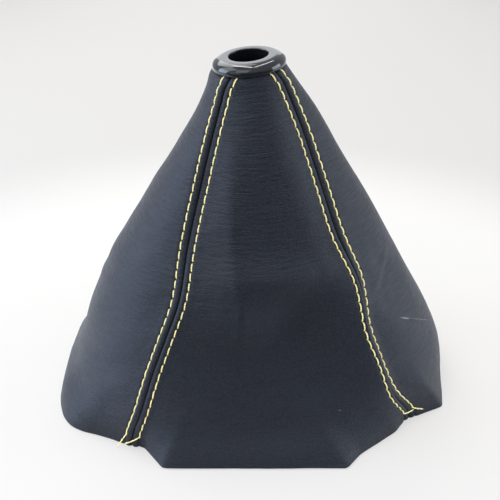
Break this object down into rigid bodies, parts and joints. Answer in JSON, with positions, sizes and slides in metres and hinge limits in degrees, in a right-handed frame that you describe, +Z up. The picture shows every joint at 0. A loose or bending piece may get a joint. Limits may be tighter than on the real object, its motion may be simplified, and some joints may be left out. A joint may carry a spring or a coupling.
{
  "type": "gear lever boot",
  "caption": "Soft leather gear lever boot, sewn from tapering panels that flare at the foot and gather into a glossy round collar with a hole for the lever.",
  "frame": {"origin": "middle of the boot's footprint, on the plane that its cut edge rests on", "axes": "+X to the right and +Y to the back as the picture sees the boot, +Z up along the lever"},
  "size_m": [0.2626, 0.2184, 0.2257],
  "materials": {
    "leather": "fine grained, satin, charcoal black",
    "thread": "pale yellow twisted thread",
    "collar": "polished black",
    "clamp_ring": "plain moulded black"
  },
  "bodies": {
    "root": {"front_panel": "leather", "left_panel": "leather", "right_panel": "leather", "rear_panel": "leather", "collar": "collar", "clamp_ring": "clamp_ring", "front_left_stitches_front": "thread", "front_left_stitches_left": "thread", "front_right_stitches_front": "thread", "front_right_stitches_right": "thread", "rear_right_stitches_right": "thread", "rear_right_stitches_rear": "thread", "rear_left_stitches_rear": "thread", "rear_left_stitches_left": "thread"}
  },
  "joints": []
}
